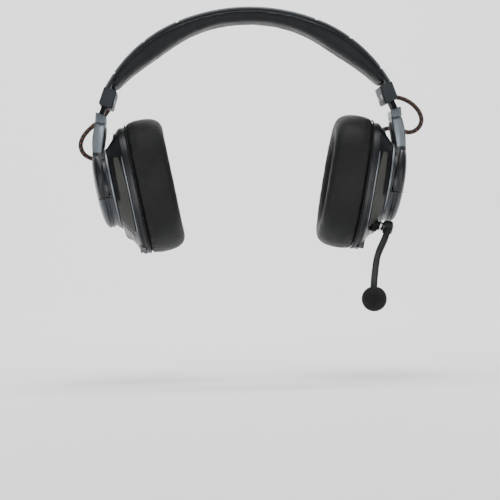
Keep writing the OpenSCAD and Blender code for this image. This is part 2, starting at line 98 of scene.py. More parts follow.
class Shader:
    """Node tree of one material with short calls for its usual parts."""

    def __init__(self, name, color, rough, shine=0.5, **settings):
        self.name = name
        self.mat = bpy.data.materials.new(name)
        self.mat.use_nodes = True
        self.tree = self.mat.node_tree
        self.bsdf = self.tree.nodes["Principled BSDF"]
        self.set("Base Color", (*color, 1))
        self.set("Roughness", rough)
        for key, value in settings.items():
            self.set(key.replace("_", " "), value)
        self.set("Specular IOR Level", shine)
        self.height = None

    def set(self, socket, value):
        self.bsdf.inputs[socket].default_value = value

    def node(self, kind, **inputs):
        n = self.tree.nodes.new(kind)
        for key, value in inputs.items():
            n.inputs[key.replace("_", " ")].default_value = value
        return n

    def link(self, a, b):
        self.tree.links.new(a, b)

    def coords(self, source="Object", scale=(1, 1, 1)):
        tc = self.tree.nodes.new("ShaderNodeTexCoord")
        mp = self.tree.nodes.new("ShaderNodeMapping")
        mp.inputs["Scale"].default_value = scale
        self.link(tc.outputs[source], mp.inputs["Vector"])
        return mp.outputs["Vector"]

    def noise(self, scale, detail, vector=None):
        n = self.node("ShaderNodeTexNoise", Scale=scale, Detail=detail)
        self.link(vector or self.coords(), n.inputs["Vector"])
        return n.outputs["Fac"]

    def cells(self, scale, feature="F1"):
        n = self.node("ShaderNodeTexVoronoi", Scale=scale)
        n.feature = feature
        self.link(self.coords(), n.inputs["Vector"])
        return n.outputs["Distance"]

    def ramp(self, value, stops):
        n = self.tree.nodes.new("ShaderNodeValToRGB")
        ramp = n.color_ramp
        while len(ramp.elements) < len(stops):
            ramp.elements.new(0.5)
        for element, (at, color) in zip(ramp.elements, stops):
            element.position = at
            element.color = (*color, 1)
        self.link(value, n.inputs["Fac"])
        return n.outputs["Color"]

    def spread(self, value, low, high, from_low=0.3, from_high=0.7):
        n = self.node("ShaderNodeMapRange", From_Min=from_low, From_Max=from_high,
                      To_Min=low, To_Max=high)
        self.link(value, n.inputs["Value"])
        return n.outputs["Result"]

    def maths(self, kind, a, b=0.0):
        n = self.tree.nodes.new("ShaderNodeMath")
        n.operation = kind
        for socket, value in zip(n.inputs, (a, b)):
            if isinstance(value, (int, float)):
                socket.default_value = value
            else:
                self.link(value, socket)
        return n.outputs[0]

    def bump(self, height, strength, distance):
        n = self.node("ShaderNodeBump", Strength=strength, Distance=distance)
        self.link(height, n.inputs["Height"])
        if self.height is not None:
            self.link(self.height, n.inputs["Normal"])
        self.height = n.outputs["Normal"]
        self.link(self.height, self.bsdf.inputs["Normal"])
        return self

    def tint(self, value, low, high, at=(0.35, 0.65)):
        self.link(self.ramp(value, [(at[0], low), (at[1], high)]), self.bsdf.inputs["Base Color"])
        return self

    def rough(self, value, low, high):
        self.link(self.spread(value, low, high), self.bsdf.inputs["Roughness"])
        return self


def shade(color, factor):
    return tuple(min(1.0, c * factor) for c in color)


def moulded(name, color, rough, grain=2600, depth=0.25, shine=0.5, metallic=0.0):
    """Moulded plastic: fine spark-eroded grain, slow changes of tone and gloss."""
    s = Shader(name, color, rough, shine, Metallic=metallic)
    s.tint(s.noise(28, 5), shade(color, 0.82), shade(color, 1.16))
    s.rough(s.noise(60, 6), rough - 0.06, rough + 0.07)
    s.bump(s.noise(9, 2), 0.12, 0.0004)
    return s.bump(s.noise(grain, 3), depth, 0.00004)


def gloss(name, color, rough):
    """Lacquered plastic with faint orange peel and slow changes of tone and gloss."""
    s = Shader(name, color, rough, Coat_Weight=0.05, Coat_Roughness=0.12, shine=0.26)
    s.tint(s.noise(40, 5), shade(color, 0.8), shade(color, 1.25))
    s.rough(s.noise(85, 8), rough - 0.03, rough + 0.07)
    return s.bump(s.noise(3800, 2), 0.03, 0.00001)


def leather(name, color, rough):
    """Leatherette: small pebbles with darker creases, slightly smoother in patches."""
    s = Shader(name, color, rough, Sheen_Weight=0.015, Sheen_Roughness=0.45,
               shine=0.17)
    pebbles = s.cells(1500, "DISTANCE_TO_EDGE")
    s.tint(pebbles, shade(color, 0.45), shade(color, 1.3), (0.0, 0.16))
    s.rough(s.noise(45, 6), rough - 0.08, rough + 0.12)
    s.bump(s.noise(130, 4), 0.16, 0.0005)
    s.bump(s.noise(3400, 3), 0.12, 0.00004)
    return s.bump(s.spread(pebbles, 0, 1, 0.0, 0.12), 0.42, 0.00009)


def metal(name, color, rough, stretch=(1, 1, 1), metallic=1.0):
    """Lacquered or turned metal with a brushed grain along one direction."""
    s = Shader(name, color, rough, Metallic=metallic)
    grain = s.noise(900, 5, s.coords("Object", stretch))
    s.tint(grain, shade(color, 0.86), shade(color, 1.12))
    s.rough(s.noise(50, 5), rough - 0.07, rough + 0.09)
    return s.bump(grain, 0.08, 0.00005)


def foam(name, color):
    """Open-cell foam with dark pores."""
    s = Shader(name, color, 0.96, Sheen_Weight=0.03, Sheen_Roughness=0.7,
               shine=0.1)
    holes = s.cells(1150)
    s.tint(holes, shade(color, 0.3), shade(color, 2.4), (0.1, 0.6))
    s.bump(s.noise(2500, 4), 0.6, 0.0002)
    return s.bump(holes, 1.0, 0.0006)


def cloth(name, color):
    """Plain open weave from two crossed wave patterns."""
    pitch = 1400
    s = Shader(name, color, 0.9, Sheen_Weight=0.3, shine=0.2)
    waves = []
    for direction in ("Y", "Z"):
        w = s.node("ShaderNodeTexWave", Scale=pitch / 6.3)
        w.bands_direction = direction
        s.link(s.coords(), w.inputs["Vector"])
        waves.append(w.outputs["Fac"])
    threads = s.maths("MULTIPLY", *waves)
    s.tint(threads, shade(color, 0.3), shade(color, 1.8), (0.05, 0.6))
    return s.bump(threads, 0.7, 0.0002)


def braid(name):
    """Black braided sleeve with orange-red tracer threads, laid out by length and angle."""
    black, tracer_red = (0.012, 0.011, 0.012), (0.42, 0.075, 0.02)
    s = Shader(name, black, 0.72, Sheen_Weight=0.2, shine=0.3)
    split = s.tree.nodes.new("ShaderNodeSeparateXYZ")
    s.link(s.coords("UV"), split.inputs[0])
    around, along = split.outputs["X"], split.outputs["Y"]
    twice_round = s.maths("MULTIPLY", around, 2.0)
    spiral = s.maths("FRACT", s.maths("ADD", twice_round, along))
    crossing = s.maths("FRACT", s.maths("SUBTRACT", twice_round, s.maths("MULTIPLY", along, 2.0)))
    fleck = s.maths("MULTIPLY", s.maths("LESS_THAN", spiral, 0.16), s.maths("LESS_THAN", crossing, 0.42))
    s.link(s.ramp(fleck, [(0.0, black), (1.0, tracer_red)]), s.bsdf.inputs["Base Color"])
    return s.bump(s.noise(3800, 3), 0.5, 0.0001)


def circuit_board(name):
    """Green board with paler tracks."""
    s = Shader(name, (0.012, 0.09, 0.035), 0.35, Coat_Weight=0.4)
    tracks = s.cells(260, "DISTANCE_TO_EDGE")
    return s.tint(tracks, (0.03, 0.17, 0.06), (0.01, 0.08, 0.03), (0.02, 0.06)).bump(tracks, 0.3, 0.0001)


MATERIALS = {s.name: s for s in (
    moulded("slat", (0.11, 0.12, 0.13), 0.36, metallic=0.3),
    moulded("cover", (0.010, 0.012, 0.014), 0.42, shine=0.3),
    moulded("frame", (0.035, 0.04, 0.045), 0.45, shine=0.4),
    metal("spring_steel", (0.45, 0.46, 0.5), 0.3, (1, 12, 1)),
    leather("headband_leather", (0.0065, 0.007, 0.008), 0.5),
    leather("ear_leather", (0.0055, 0.0058, 0.006), 0.5),
    moulded("wire", (0.35, 0.03, 0.02), 0.45),
    moulded("cap", (0.014, 0.0175, 0.021), 0.5, shine=0.2),
    metal("screw", (0.4, 0.4, 0.42), 0.3),
    moulded("black_rubber", (0.005, 0.0055, 0.006), 0.55, 1800, 0.4, shine=0.25),
    braid("braid"),
    moulded("black_plastic", (0.003, 0.003, 0.0035), 0.6, shine=0.12),
    metal("yoke_metal", (0.095, 0.11, 0.122), 0.36, (1, 1, 0.06), 0.8),
    metal("steel", (0.6, 0.6, 0.62), 0.22, (1, 1, 20)),
    gloss("shell_gloss", (0.003, 0.0034, 0.0042), 0.3),
    gloss("disc_gloss", (0.005, 0.006, 0.0075), 0.33),
    moulded("plate", (0.13, 0.145, 0.16), 0.3, metallic=0.4),
    moulded("drum", (0.012, 0.0155, 0.019), 0.36, 3000, 0.12, shine=0.45),
    moulded("panel", (0.030, 0.031, 0.027), 0.62, 2000, 0.4, shine=0.25),
    moulded("chassis", (0.006, 0.007, 0.009), 0.4, 2200, 0.3, shine=0.3),
    metal("driver", (0.10, 0.10, 0.11), 0.4),
    cloth("scrim", (0.015, 0.015, 0.017)),
    circuit_board("board"),
    metal("battery_wrap", (0.5, 0.5, 0.52), 0.35),
    moulded("control", (0.007, 0.0075, 0.009), 0.6, 1500, 0.5),
    metal("port", (0.05, 0.05, 0.055), 0.35),
    foam("foam", (0.004, 0.004, 0.0045)),
)}
BODY_OF = {n: b for b, ns in frame["record"]["behaviour"]["bodies"].items() for n in ns}
SLOT_OF = {p["node"]: p["material_slot"] for p in frame["record"]["subparts"]}


# ---------- mesh helpers ----------

def add_piece(name, verts, faces, place, finish, side=1, sharp=35):
    """Mesh piece from points in millimetres; side -1 mirrors it to the wearer's right."""
    points = [place @ Vector(v) for v in verts]
    if side < 0:
        points = [Vector((-p.x, p.y, p.z)) for p in points]
        faces = [tuple(reversed(f)) for f in faces]
    mesh = bpy.data.meshes.new(name)
    mesh.from_pydata(points, [], faces)
    bm = bmesh.new()
    bm.from_mesh(mesh)
    bmesh.ops.recalc_face_normals(bm, faces=bm.faces)
    bm.to_mesh(mesh)
    bm.free()
    mesh.shade_smooth()
    if sharp:
        mesh.set_sharp_from_angle(angle=math.radians(sharp))
    mesh.materials.append(MATERIALS[finish].mat)
    obj = bpy.data.objects.new(name, mesh)
    bpy.context.collection.objects.link(obj)
    return obj


def circle(steps, turn=2 * math.pi):
    """Cosine and sine of evenly spaced angles round a turn."""
    angles = [turn * k / steps for k in range(steps)]
    return [(math.cos(a), math.sin(a)) for a in angles]


def loft(rings, loop=False):
    """Vertices and faces of a skin over rings with equal point counts, closed or with end caps."""
    n = len(rings[0])
    verts = [p for ring in rings for p in ring]
    faces = []
    spans = len(rings) if loop else len(rings) - 1
    for i in range(spans):
        a, b = i * n, (i + 1) % len(rings) * n
        faces += [(a + k, a + (k + 1) % n, b + (k + 1) % n, b + k) for k in range(n)]
    if not loop:
        faces += [tuple(reversed(range(n))), tuple(range((len(rings) - 1) * n, len(rings) * n))]
    return verts, faces


def rounded_rect(half_x, half_y, r, steps=5, cx=0.0, cy=0.0):
    """Points of a rounded rectangle, anticlockwise."""
    r = min(r, half_x, half_y)
    points = []
    for quarter, (sx, sy) in enumerate(((1, 1), (-1, 1), (-1, -1), (1, -1))):
        for k in range(steps + 1):
            a = math.radians(90 * (quarter + k / steps))
            points.append((cx + sx * (half_x - r) + r * math.cos(a),
                           cy + sy * (half_y - r) + r * math.sin(a)))
    return points


def spline(points, steps):
    """Smooth line through points (Catmull-Rom), with the given steps in each span."""
    p = [Vector(q) for q in points]
    p = [2 * p[0] - p[1]] + p + [2 * p[-1] - p[-2]]
    line = []
    for i in range(1, len(p) - 2):
        for k in range(steps):
            t = k / steps
            line.append(0.5 * (2 * p[i] + (p[i + 1] - p[i - 1]) * t
                               + (2 * p[i - 1] - 5 * p[i] + 4 * p[i + 1] - p[i + 2]) * t ** 2
                               + (3 * (p[i] - p[i + 1]) + p[i + 2] - p[i - 1]) * t ** 3))
    line.append(p[-2])
    return line


def length_of(line):
    return sum((b - a).length for a, b in zip(line, line[1:]))


def even(line, count):
    """The same line with evenly spaced points."""
    total, out, walked, i = length_of(line), [], 0.0, 0
    for k in range(count):
        want = total * k / (count - 1)
        while i < len(line) - 2 and walked + (line[i + 1] - line[i]).length < want:
            walked += (line[i + 1] - line[i]).length
            i += 1
        span = (line[i + 1] - line[i]).length
        out.append(line[i].lerp(line[i + 1], min(1.0, (want - walked) / span)))
    return out


def frames_along(line, first=(0.3, 0.1, 1)):
    """A pair of unit vectors across the line at each point, carried along without twist."""
    normal, out = Vector(first), []
    for i in range(len(line)):
        way = (line[min(i + 1, len(line) - 1)] - line[max(i - 1, 0)]).normalized()
        normal = (normal - normal.dot(way) * way).normalized()
        out.append((normal.copy(), way.cross(normal)))
    return out


def oval_path(arc=28, straight=8):
    """Points round the cup's outline as (centre height, normal), anticlockwise from +X."""
    path = [(OVAL_OFF, (math.cos(a), math.sin(a)))
            for a in (math.pi * k / arc for k in range(arc + 1))]
    path += [(OVAL_OFF - 2 * OVAL_OFF * k / straight, (-1.0, 0.0)) for k in range(1, straight)]
    path += [(-OVAL_OFF, (math.cos(a), math.sin(a)))
             for a in (math.pi + math.pi * k / arc for k in range(arc + 1))]
    path += [(-OVAL_OFF + 2 * OVAL_OFF * k / straight, (1.0, 0.0)) for k in range(1, straight)]
    return path


def flank_measures(cy, share):
    """Radius, centre height and level of the flank; share is 0 at the chassis, 1 at the plate."""
    return (OVAL_HALF * (1 - share) + PLATE_R * share, cy * (1 - share) + HUB_Q * share,
            CHASSIS_T + 0.1 + (PLATE_Z - CHASSIS_T - 0.2) * share)


def flank_point(cy, n, share, grow):
    """Point on the cup's flank, moved out by grow."""
    r, centre, z = flank_measures(cy, share)
    return ((r + grow) * n[0], centre + (r + grow) * n[1], z)


def revolve(profile, steps, at=(0.0, HUB_Q)):
    """Solid of revolution from a profile of (radius, height) that starts and ends on the axis."""
    cx, cy = at
    return loft([[(cx + r * c, cy + r * s, z) for c, s in circle(steps)] for r, z in profile])


def turned(name, profile, finish, side, steps=HUB_STEPS, at=(0.0, HUB_Q), sharp=30):
    """Turned piece in the cup's frame, round a line parallel to the cup's axis."""
    return add_piece(name, *revolve(profile, steps, at), CUP, finish, side, sharp)


def applied(obj):
    """The object's mesh with its modifiers applied."""
    depsgraph = bpy.context.evaluated_depsgraph_get()
    return bpy.data.meshes.new_from_object(obj.evaluated_get(depsgraph))


def cut(obj, *cutters):
    """Boolean differences applied to the mesh; the cutters are removed."""
    for c in cutters:
        mod = obj.modifiers.new("cut", "BOOLEAN")
        mod.operation = "DIFFERENCE"
        mod.solver = "EXACT"
        mod.object = c
        mesh = applied(obj)
        obj.modifiers.remove(mod)
        obj.data = mesh
        bpy.data.objects.remove(c)


def cutter(shape, side=1, place=CUP):
    """Piece that is only there to be cut away from another."""
    return add_piece("cutter", *shape, place, "chassis", side, 0)


def box(low, high):
    """Box between two corners."""
    (x0, y0, z0), (x1, y1, z1) = low, high
    return loft([[(x0, y0, z), (x1, y0, z), (x1, y1, z), (x0, y1, z)] for z in (z0, z1)])


def between(low, high, side, half_x=FAR, floor=0, top=FAR):
    """Cutter over everything between two heights of the cup."""
    return cutter(box((-half_x, low, floor), (half_x, high, top)), side)


def slab(points, x_low, x_high):
    """Solid between two X planes, from an outline of (radial height, up the cup)."""
    return loft([[(x, q, r) for r, q in points] for x in (x_low, x_high)])


def rod(at, way, r, reach, steps=48):
    """Cylinder from a point along a direction."""
    a, d = Vector(at), Vector(way).normalized()
    n, b = frames_along([a, a + d])[0]
    return loft([[tuple(a + d * h + r * (c * n + s * b)) for c, s in circle(steps)]
                 for h in (0, reach)])


def crease(obj, angle):
    """Smooth shading, broken at the edges that are sharper than the angle in degrees."""
    obj.data.shade_smooth()
    obj.data.set_sharp_from_angle(angle=math.radians(angle))


def soften(obj, width, segments, angle):
    """Rounds the sharp edges of a hard piece."""
    mod = obj.modifiers.new("edges", "BEVEL")
    mod.width = width * MM
    mod.segments = segments
    mod.limit_method = "ANGLE"
    mod.angle_limit = math.radians(angle)
    mod.harden_normals = True
    crease(obj, angle)


def join(objects, name):
    """Joins pieces into the first one, under a new name."""
    with bpy.context.temp_override(active_object=objects[0], selected_objects=objects,
                                   selected_editable_objects=objects):
        bpy.ops.object.join()
    objects[0].name = name
    return objects[0]


def stand_for(obj, node):
    """Rides on the node's body and takes its place."""
    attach(obj, BODY_OF[node])
    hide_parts(node)


def shaped(node, shape, place, finish, side=1, sharp=35):
    """Piece that takes a node's place as it is."""
    obj = add_piece(f"{node}_shaped", *shape, place, finish, side, sharp)
    stand_for(obj, node)
    return obj


# ---------- camera and leads ----------

def make_camera():
    """Long lens in front of the object, turned and rolled slightly."""
    sensor, distance, view_width = 36, 1500, 425
    turn, roll = math.radians(-2.2), math.radians(-1.3)
    target = Vector((-0.0012, 0, -0.1934))
    cam = bpy.data.objects.new("camera", bpy.data.cameras.new("camera"))
    cam.data.lens = sensor * distance / view_width
    cam.data.clip_end = 30
    cam.location = target + Vector((math.sin(turn), -math.cos(turn), 0)) * (distance * MM)
    look = (target - cam.location).to_track_quat("-Z", "Y").to_matrix().to_4x4()
    cam.rotation_euler = (look @ Matrix.Rotation(roll, 4, "Z")).to_euler()
    bpy.context.collection.objects.link(cam)
    bpy.context.scene.camera = cam


# Routes of the leads, as in the design, from inside the end cap's sleeve to inside the cup
SLEEVE_START = (117.3, 21, -66.4)
LEAD_ROUTES = {
    "left": [SLEEVE_START, (117.7, 25, -67), (118.4, 27.3, -67.2), (121.6, 29.2, -66),
             (129.5, 27.6, -63.8), (137.5, 25, -66.3), (144.5, 23, -71.5), (149.3, 21.5, -78.5),
             (150.4, 21, -85.5), (147, 21.5, -91.8), (140.5, 23, -94.6), (133, 25.5, -92.8),
             (126, 28.5, -90.6), (120, 32, -90.8), (116.8, 35.6, -94), (116.5, 38.2, -98.8),
             (118, 38.4, -103.6), (118.4, 35.6, -106.6), (117.4, 32.4, -107.5), (115, 26, -107.5)],
    "right": [SLEEVE_START, (117.7, 25, -67), (118.2, 27.5, -67.8), (120.4, 29.8, -70.8),
              (124.8, 30, -76.5), (130, 28, -81), (136, 25.8, -86), (141.5, 24.4, -92.5),
              (144, 24, -99.8), (142, 25, -106.6), (136.5, 27.5, -110.8), (129.5, 31.2, -112.2),
              (123.4, 34.8, -110.9), (119.4, 35.4, -108.6), (117.4, 32.4, -107.5),
              (115, 26, -107.5)],
}
LEAD_PIECES, LEAD_SPANS = 3, 120  # pieces of each lead, and spans in a piece
LEAD_STRANDS, LEAD_SIDES, LEAD_RING = 8, 32, 0.42
TRACER_PITCH = 4.2


def lead_skin(line, start_mm):
    """Points of the braided tube and each ring's place along the lead."""
    step = length_of(line) / (len(line) - 1)
    verts, along = [], []
    for i, (p, (n, b)) in enumerate(zip(line, frames_along(line))):
        d = start_mm + i * step
        for k, (c, s) in enumerate(circle(LEAD_SIDES)):
            a = 2 * math.pi * k / LEAD_SIDES
            weave = math.cos(LEAD_STRANDS * a + d * 2.4) * math.cos(LEAD_STRANDS * a - d * 2.4)
            r = LEAD_D / 2 - 0.07 + 0.09 * weave
            verts.append(tuple(p + r * (c * n + s * b)))
        along.append(d)
    return verts, along


def lay_out_braid(obj, along):
    """UV runs once round the lead, and along it in tracer pitches."""
    uv = obj.data.uv_layers.new(name="braid")
    for poly in obj.data.polygons:
        ks = [v % LEAD_SIDES for v in poly.vertices]
        wrap = max(ks) - min(ks) > 1
        for loop_i, v in zip(poly.loop_indices, poly.vertices):
            k = v % LEAD_SIDES
            turn = 1.0 if wrap and k == 0 else k / LEAD_SIDES
            uv.data[loop_i].uv = (turn, along[v // LEAD_SIDES] / TRACER_PITCH)


def lead_piece(name, line, start_mm, side):
    """Braided tube along a stretch of the route."""
    line = even(line, max(12, round(length_of(line) / LEAD_RING)))
    verts, along = lead_skin(line, start_mm)
    rings = [verts[i * LEAD_SIDES:(i + 1) * LEAD_SIDES] for i in range(len(line))]
    obj = add_piece(name, *loft(rings), ROW, "braid", side, 0)
    lay_out_braid(obj, along)
    row = [(side * p.x * MM, p.y * MM, p.z * MM) for p in line]
    return obj, Vector(row[0]), Vector(row[-1])


def make_leads():
    """Three pieces a side, along each lead's route."""
    for label, side in SIDES.items():
        spans = LEAD_PIECES * LEAD_SPANS
        line = even(spline(LEAD_ROUTES[label], 12), spans + 1)
        total = length_of(line)
        for i in range(LEAD_PIECES):
            begin = i * LEAD_SPANS
            obj, first, last = lead_piece(f"braided_lead_{label}_{i + 1}",
                                          line[begin:begin + LEAD_SPANS + 1],
                                          total * begin / spans, side)
            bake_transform(obj)
            if i == 0:
                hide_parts(f"lead_{label}_side")


# ---------- headband ----------

CROWN_C = Vector((0, 0, BAND_TOP - CROWN_R))
END_C = CROWN_C + Vector((math.sin(math.radians(CROWN_HALF)), 0,
                          math.cos(math.radians(CROWN_HALF)))) * (CROWN_R - END_R)


def band_point(angle, y, depth):
    """Point of the band at an angle from vertical, across it, and under its outer line."""
    a = math.radians(abs(angle))
    side = -1 if angle < 0 else 1
    if abs(angle) <= CROWN_HALF:
        c, r = CROWN_C, CROWN_R - depth
    else:
        c, r = END_C, END_R - depth
    return (side * (c.x + r * math.sin(a)), y, c.z + r * math.cos(a))


def band_strip(name, section, start, end, finish):
    """Strip along the band; section is a loop of (across, depth), drawn in at both ends."""
    steps = max(4, round(end - start))
    mid = sum(d for _, d in section) / len(section)
    ends = [(0.0, 0.90), (0.036, 0.97), (0.1125, 1.0)]
    stations = [(start + t, share) for t, share in ends]
    stations += [(start + 0.5 + (end - start - 1.0) * k / steps, 1.0) for k in range(steps + 1)]
    stations += [(end - t, share) for t, share in reversed(ends)]
    rings = [[band_point(angle, y * (1 - (1 - share) * 0.15), mid + (d - mid) * share)
              for y, d in section] for angle, share in stations]
    return add_piece(name, *loft(rings), ROW, finish)


def make_band():
    """Slats on the outside, the cover under them, and the carrier that shows by the end caps."""
    slats = [(-21.3, 21.3), (22.2, 36.7), (37.5, 53.9), (54.7, BAND_END - 0.3)]
    spans = [slats[0]] + [s for a, b in slats[1:] for s in ((a, b), (-b, -a))]
    section = rounded_rect((BAND_W - 5) / 2, 0.85, 0.8, 4, 0, 0.85)
    pieces = [band_strip(f"slat_{i}", section, a, b, "slat") for i, (a, b) in enumerate(spans)]
    stand_for(join(pieces, "cover_slats_shaped"), "cover_slats")
    cover = rounded_rect(BAND_W / 2, 0.95, 0.9, 5, 0, 2.15)
    stand_for(band_strip("headband_cover_shaped", cover, -BAND_END, BAND_END, "cover"),
              "headband_cover")
    carrier = rounded_rect(BAND_W / 2 - 2, 0.95, 0.6, 4, 0, 4.2)
    stand_for(band_strip("band_frame_shaped", carrier, -BAND_END - 2, BAND_END + 2, "frame"),
              "band_frame")


CLOTH_FRAMES = 20


def swell(obj, pressure, most):
    """Cloth under pressure from inside; no point moves further than the given millimetres."""
    rest = [v.co.copy() for v in obj.data.vertices]
    mod = obj.modifiers.new("cloth", "CLOTH")
    settings = mod.settings
    settings.quality = 6
    settings.mass = 0.2
    settings.tension_stiffness = 18
    settings.compression_stiffness = 12
    settings.bending_stiffness = 0.4
    settings.use_pressure = True
    settings.uniform_pressure_force = pressure
    settings.effector_weights.gravity = 0
    mod.collision_settings.use_collision = False
    scene = bpy.context.scene
    for f in range(1, CLOTH_FRAMES + 1):
        scene.frame_set(f)
    swollen = applied(obj)
    obj.modifiers.clear()
    scene.frame_set(1)
    drift = sum(((v.co - r) for v, r in zip(swollen.vertices, rest)), Vector()) / len(rest)
    for v, r in zip(swollen.vertices, rest):
        move = v.co - r - drift
        if move.length > most * MM:
            move = move.normalized() * most * MM
        v.co = r + move
    obj.data = swollen


def puff(obj, pressure, most, voxel):
    """Remeshes a closed cushion evenly, swells it and smooths it."""
    mod = obj.modifiers.new("remesh", "REMESH")
    mod.mode = "VOXEL"
    mod.voxel_size = voxel * MM
    obj.data = applied(obj)
    obj.modifiers.clear()
    swell(obj, pressure, most)
    smooth = obj.modifiers.new("smooth", "SMOOTH")
    smooth.factor = 0.5
    smooth.iterations = 6
    sub = obj.modifiers.new("fine", "SUBSURF")
    sub.levels = sub.render_levels = 1
    obj.data = applied(obj)
    obj.modifiers.clear()
    obj.data.shade_smooth()


def stitches(name, points, ways, outs, finish):
    """Row of thread stitches: small pointed lozenges lying on a surface."""
    long, thick = 2.2, 0.42
    verts, faces = [], []
    for p, way, out in zip(points, ways, outs):
        across = way.cross(out).normalized()
        rings = []
        for h, r in ((-0.5, 0.15), (-0.32, 0.8), (0, 1.0), (0.32, 0.8), (0.5, 0.15)):
            centre = p + way * long * h + out * thick * 0.25 * r
            rings.append([tuple(centre + thick / 2 * r * (c * across + s * out))
                          for c, s in circle(8)])
        v, f = loft(rings)
        faces += [tuple(i + len(verts) for i in face) for face in f]
        verts += v
    return add_piece(name, verts, faces, ROW, finish, 1, 0)


# Depth of the cushion's underside below the band's outer line, by angle from the crown
PAD_DEPTHS = [(0, 11.5), (10, 11.8), (18, 13.1), (26, 15.5), (34, 16.6), (41, 15.9), (48, 13.4),
              (54, 10.8), (60.5, 8.5)]


def pad_depth(angle):
    """Depth of the cushion's underside, eased between the listed angles."""
    a = abs(angle)
    for (a0, d0), (a1, d1) in zip(PAD_DEPTHS, PAD_DEPTHS[1:]):
        if a <= a1:
            return d0 + (d1 - d0) * (a - a0) / (a1 - a0)
    return PAD_DEPTHS[-1][1]


def soft_depth(angle):
    """The same depth without corners: a mean over a few degrees."""
    return sum(pad_depth(angle + k) for k in (-4, -2, 0, 2, 4)) / 5


def band_place(p):
    """Angle, depth and inward direction of a point in millimetres, relative to the band."""
    c, r = CROWN_C, CROWN_R
    if abs(math.degrees(math.atan2(p.x, p.z - CROWN_C.z))) > CROWN_HALF:
        c, r = Vector((math.copysign(END_C.x, p.x), 0, END_C.z)), END_R
    radial = Vector((p.x - c.x, 0, p.z - c.z))
    return math.degrees(math.atan2(radial.x, radial.z)), r - radial.length, -radial.normalized()


PAD_HALF_W, PAD_TOP = BAND_W / 2 - 0.5, 3.3


def dress_headband_pad(pad):
    """Crowns the underside of the cushion and adds soft creases."""
    for v in pad.data.vertices:
        p = v.co / MM
        angle, depth, inward = band_place(p)
        low = soft_depth(angle)
        inner = max(0.0, min(1.0, (depth - PAD_TOP - 2) / max(1.0, low - PAD_TOP - 2)))
        crown = 0.7 * (1 - (p.y / PAD_HALF_W) ** 2)
        creases = 0.22 * noise.noise(Vector((angle * 0.35, p.y * 0.12, depth * 0.2)))
        v.co += inward * (crown + creases) * inner * MM


def sew_headband_pad():
    """A row of stitches along each long edge of the cushion."""
    pitch, depth = 1.1, 4.5
    angles = [-PAD_END + 2 + k * pitch for k in range(int((2 * PAD_END - 4) / pitch) + 1)]
    for edge, label in ((-1, "front"), (1, "rear")):
        y = edge * (PAD_HALF_W + 0.2)
        pts = [Vector(band_point(a, y, depth)) for a in angles]
        ways = [(Vector(band_point(a + 0.1, y, depth)) - p).normalized()
                for a, p in zip(angles, pts)]
        outs = [Vector((0, edge, 0))] * len(pts)
        row = stitches(f"headband_stitches_{label}", pts, ways, outs, "headband_leather")
        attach(row, "headband")


def make_headband_pad():
    """Crescent cushion under the band: fullest over the temples, wrapped up over the carrier."""
    shape = rounded_rect(1.0, 1.0, 0.36)
    rings = []
    for angle in [-PAD_END + 2 * PAD_END * k / 60 for k in range(61)]:
        low = soft_depth(angle) - 0.5
        mid, half = (PAD_TOP + low) / 2, (low - PAD_TOP) / 2
        close = 0.94 if abs(angle) == PAD_END else 1.0
        rings.append([band_point(angle, PAD_HALF_W * u * close * (1 - 0.05 * max(0, v)),
                                 mid + half * v * close) for u, v in shape])
    pad = add_piece("headband_pad_shaped", *loft(rings), ROW, "headband_leather", 1, 0)
    puff(pad, 3.0, 0.8, 2.2)
    dress_headband_pad(pad)
    stand_for(pad, "headband_pad")
    sew_headband_pad()


def level_ring(x_low, x_high, half_y, z, r):
    """Rounded rectangle between two X limits at one height."""
    middle, half_x = (x_low + x_high) / 2, (x_high - x_low) / 2
    return [(x, y, z) for x, y in rounded_rect(half_x, half_y, r, 6, middle, 0)]


def make_end_cap(label, side):
    """Tapered cap with a slot for the slider, a socket for the band and two screw holes."""
    levels = [(6.4, 0.9), (6.8, 0.35), (7.6, 0.0), (20.6, 0.0), (21.3, 0.25), (21.7, 0.7)]
    rings = []
    for z, inset in levels:
        t = (z - 7) / 13
        rings.append(level_ring(-7.7 + 1.5 * t + inset, 4.8 + 0.6 * t - inset,
                                18.5 + 1.5 * t - inset, z, 2.2))
    cap = add_piece(f"end_cap_{label}_shaped", *loft(rings), SLIDE, "cap", side, 40)
    cut(cap, cutter(box((-2.4, -10.4, 4), (2.4, 10.4, 11)), side, SLIDE),
        cutter(box((-4.6, -17.2, 10), (2.4, 17.2, 24)), side, SLIDE),
        *(cutter(rod((-14, y, 13), (1, 0, 0), 2.1, 7.8), side, SLIDE) for y in (-12, 12)))
    soften(cap, 0.25, 2, 40)
    stand_for(cap, f"end_cap_{label}")


def make_sleeve(label, side):
    """Rubber sleeve with ribs where the lead leaves the end cap."""
    base, way = Vector((117, 18, -65.9)), Vector((0.1, 1, -0.16)).normalized()
    n, b = frames_along([base, base + way])[0]
    profile = [(-1.6, 2.6), (0.2, 3.6), (1.3, 3.6), (1.6, 3.0), (2.2, 3.0), (2.5, 3.3), (3.1, 3.3),
               (3.4, 2.8), (4.0, 2.8), (4.3, 3.05), (4.9, 3.05), (5.2, 2.55), (6.1, 2.45),
               (6.4, 2.2), (6.4, 2.02)]
    rings = [[tuple(base + way * h + r * (c * n + s * b)) for c, s in circle(40)] for h, r in profile]
    return add_piece(f"lead_sleeve_{label}", *loft(rings), ROW, "black_rubber", side, 40)


# ---------- sliders and yokes ----------

